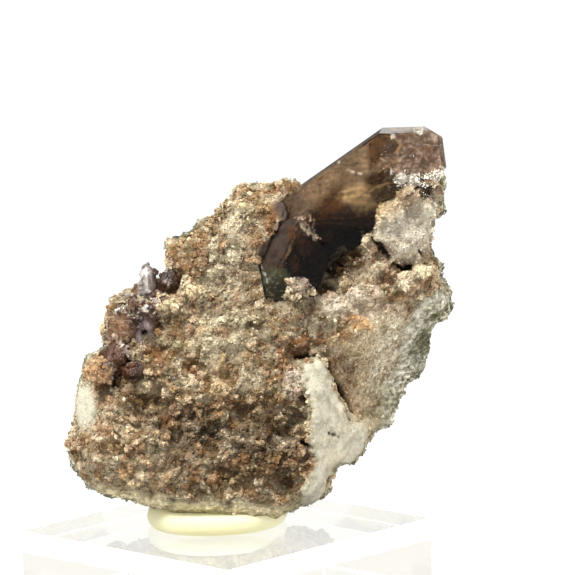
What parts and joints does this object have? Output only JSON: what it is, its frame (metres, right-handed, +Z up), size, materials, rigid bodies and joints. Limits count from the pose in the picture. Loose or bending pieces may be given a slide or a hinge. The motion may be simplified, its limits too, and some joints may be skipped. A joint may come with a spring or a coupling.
{
  "type": "mineral specimen on a stand",
  "caption": "Smoky quartz crystal with green chlorite on a rough, crusted rock matrix, pressed into a disc of putty on a clear square display block.",
  "frame": {"origin": "centre of the clear block's underside", "axes": "+Z up, -Y towards the show side, +X to the right of the show side"},
  "size_m": [0.0755, 0.0702, 0.0798],
  "materials": {
    "rock": "rough granular crust on broken schist",
    "smoky_quartz": "smooth crystal faces, one etched",
    "side_quartz": "small clear brown crystals",
    "putty": "soft waxy",
    "acrylic": "polished clear"
  },
  "bodies": {
    "root": {"matrix": "rock", "smoky_quartz": "smoky_quartz", "upper_side_quartz": "side_quartz", "lower_side_quartz": "side_quartz", "putty": "putty", "acrylic_block": "acrylic"}
  },
  "joints": []
}
